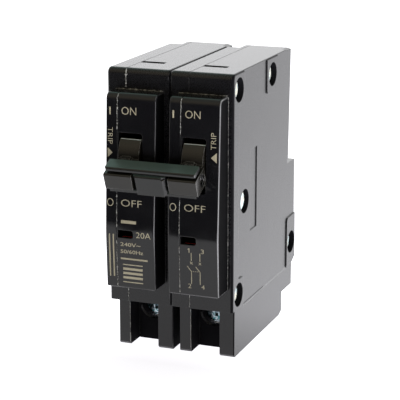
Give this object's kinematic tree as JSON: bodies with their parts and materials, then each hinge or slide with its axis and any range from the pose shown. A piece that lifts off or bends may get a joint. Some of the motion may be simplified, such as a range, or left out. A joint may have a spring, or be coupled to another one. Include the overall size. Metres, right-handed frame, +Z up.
{
  "type": "plug-on miniature circuit breaker",
  "caption": "Double-pole plug-on circuit breaker with tied toggle handles, screw terminals at the foot and spring jaws for a bus stab at the back.",
  "frame": {"origin": "middle of the foot: centre of the bounding box in X and Y, at the lowest point", "axes": "+Z up towards the ON end, the handles face -Y, +X across the poles to the right seen from the front"},
  "size_m": [0.038, 0.0736, 0.0825],
  "materials": {
    "case_plastic": "fine satin moulding",
    "toggle_plastic": "smooth moulding",
    "tie_plastic": "satin moulding",
    "zinc_steel": "zinc plated",
    "zinc_screw": "blue zinc plated",
    "black_steel": "black oxide",
    "rivet_steel": "bright plated",
    "plain_steel": "plain",
    "spring_steel": "drawn wire",
    "copper": "stamped copper",
    "copper_braid": "woven copper",
    "brass": "stamped brass",
    "contact_silver": "silver alloy",
    "bimetal_strip": "rolled strip",
    "bar_plastic": "natural moulding",
    "flag_red": "red moulding",
    "print_ink": "pad printed ink"
  },
  "bodies": {
    "case": {"left_case_cover": "case_plastic", "left_case_base": "case_plastic", "left_toggle_pin": "zinc_steel", "left_arm_pin": "zinc_steel", "left_trip_lever_pin": "zinc_steel", "left_armature_pin": "zinc_steel", "left_fixed_contact": "contact_silver", "left_line_jaw": "copper", "left_load_terminal": "brass", "left_terminal_cage": "zinc_steel", "left_bimetal": "bimetal_strip", "left_magnet_yoke": "plain_steel", "left_calibration_screw": "brass", "left_main_spring": "spring_steel", "left_arc_plates": "plain_steel", "left_braid": "copper_braid", "right_case_cover": "case_plastic", "right_case_base": "case_plastic", "right_toggle_pin": "zinc_steel", "right_arm_pin": "zinc_steel", "right_trip_lever_pin": "zinc_steel", "right_armature_pin": "zinc_steel", "right_fixed_contact": "contact_silver", "right_line_jaw": "copper", "right_load_terminal": "brass", "right_terminal_cage": "zinc_steel", "right_bimetal": "bimetal_strip", "right_magnet_yoke": "plain_steel", "right_calibration_screw": "brass", "right_main_spring": "spring_steel", "right_arc_plates": "plain_steel", "right_braid": "copper_braid", "case_rivets": "rivet_steel"},
    "handle": {"left_toggle": "toggle_plastic", "right_toggle": "toggle_plastic", "handle_tie": "tie_plastic", "tie_pin": "black_steel"},
    "trip_bar": {"trip_bar": "bar_plastic"},
    "left_contact_arm": {"left_contact_arm": "copper", "left_moving_contact": "contact_silver"},
    "left_trip_lever": {"left_trip_lever": "plain_steel"},
    "left_armature": {"left_armature": "plain_steel"},
    "left_trip_flag": {"left_trip_flag": "flag_red"},
    "left_clamp": {"left_pressure_saddle": "zinc_steel"},
    "left_terminal_screw": {"left_terminal_screw": "zinc_screw"},
    "right_contact_arm": {"right_contact_arm": "copper", "right_moving_contact": "contact_silver"},
    "right_trip_lever": {"right_trip_lever": "plain_steel"},
    "right_armature": {"right_armature": "plain_steel"},
    "right_trip_flag": {"right_trip_flag": "flag_red"},
    "right_clamp": {"right_pressure_saddle": "zinc_steel"},
    "right_terminal_screw": {"right_terminal_screw": "zinc_screw"}
  },
  "joints": [
    {"name": "handle_turn", "type": "hinge", "parent": "case", "child": "handle", "pos_m": [0, -0.02043, 0.0582], "axis": [-1, 0, 0], "range_deg": [-5, 40]},
    {"name": "trip_bar_turn", "type": "hinge", "parent": "case", "child": "trip_bar", "pos_m": [0, 0.00787, 0.0235], "axis": [-1, 0, 0], "range_deg": [0, 14]},
    {"name": "left_arm_close", "type": "hinge", "parent": "case", "child": "left_contact_arm", "pos_m": [-0.0093, -0.00663, 0.052], "axis": [-1, 0, 0], "range_deg": [-1.5, 12], "deforming": ["left_main_spring", "left_braid"]},
    {"name": "left_lever_drop", "type": "hinge", "parent": "case", "child": "left_trip_lever", "pos_m": [-0.0093, -0.00413, 0.0435], "axis": [-1, 0, 0], "range_deg": [0, 20]},
    {"name": "left_armature_pull", "type": "hinge", "parent": "case", "child": "left_armature", "pos_m": [-0.0093, 0.01377, 0.049], "axis": [1, 0, 0], "range_deg": [0, 5]},
    {"name": "left_flag_rise", "type": "slide", "parent": "case", "child": "left_trip_flag", "axis": [0, 0, 1], "range_m": [0, 0.0023], "stiffness_N_per_m": 15, "springref_m": -0.003},
    {"name": "left_clamp_slide", "type": "slide", "parent": "case", "child": "left_clamp", "axis": [0, 1, 0], "range_m": [0, 0.0032]},
    {"name": "left_screw_turn", "type": "hinge", "parent": "left_clamp", "child": "left_terminal_screw", "pos_m": [-0.0089, -0.00743, 0.0106], "axis": [0, 1, 0], "range_deg": [0, 1440]},
    {"name": "right_arm_close", "type": "hinge", "parent": "case", "child": "right_contact_arm", "pos_m": [0.00975, -0.00663, 0.052], "axis": [-1, 0, 0], "range_deg": [-1.5, 12], "deforming": ["right_main_spring", "right_braid"]},
    {"name": "right_lever_drop", "type": "hinge", "parent": "case", "child": "right_trip_lever", "pos_m": [0.00975, -0.00413, 0.0435], "axis": [-1, 0, 0], "range_deg": [0, 20]},
    {"name": "right_armature_pull", "type": "hinge", "parent": "case", "child": "right_armature", "pos_m": [0.00975, 0.01377, 0.049], "axis": [1, 0, 0], "range_deg": [0, 5]},
    {"name": "right_flag_rise", "type": "slide", "parent": "case", "child": "right_trip_flag", "axis": [0, 0, 1], "range_m": [0, 0.0023]},
    {"name": "right_clamp_slide", "type": "slide", "parent": "case", "child": "right_clamp", "axis": [0, 1, 0], "range_m": [0, 0.0032]},
    {"name": "right_screw_turn", "type": "hinge", "parent": "right_clamp", "child": "right_terminal_screw", "pos_m": [0.01015, -0.00743, 0.0106], "axis": [0, 1, 0], "range_deg": [0, 1440]}
  ],
  "couplings": [
    {"joint": "left_arm_close", "follows": "handle_turn", "ratio": 0.3},
    {"joint": "left_lever_drop", "follows": "left_flag_rise", "rad_per_m": 151.77},
    {"joint": "left_armature_pull", "follows": "left_flag_rise", "rad_per_m": 37.942},
    {"joint": "left_screw_turn", "follows": "left_clamp_slide", "rad_per_m": 7854},
    {"joint": "right_arm_close", "follows": "handle_turn", "ratio": 0.3},
    {"joint": "right_lever_drop", "follows": "left_flag_rise", "rad_per_m": 151.77},
    {"joint": "right_armature_pull", "follows": "left_flag_rise", "rad_per_m": 37.942},
    {"joint": "right_screw_turn", "follows": "right_clamp_slide", "rad_per_m": 7854},
    {"joint": "right_flag_rise", "follows": "left_flag_rise", "ratio": 1},
    {"joint": "trip_bar_turn", "follows": "left_flag_rise", "rad_per_m": 106.24}
  ]
}
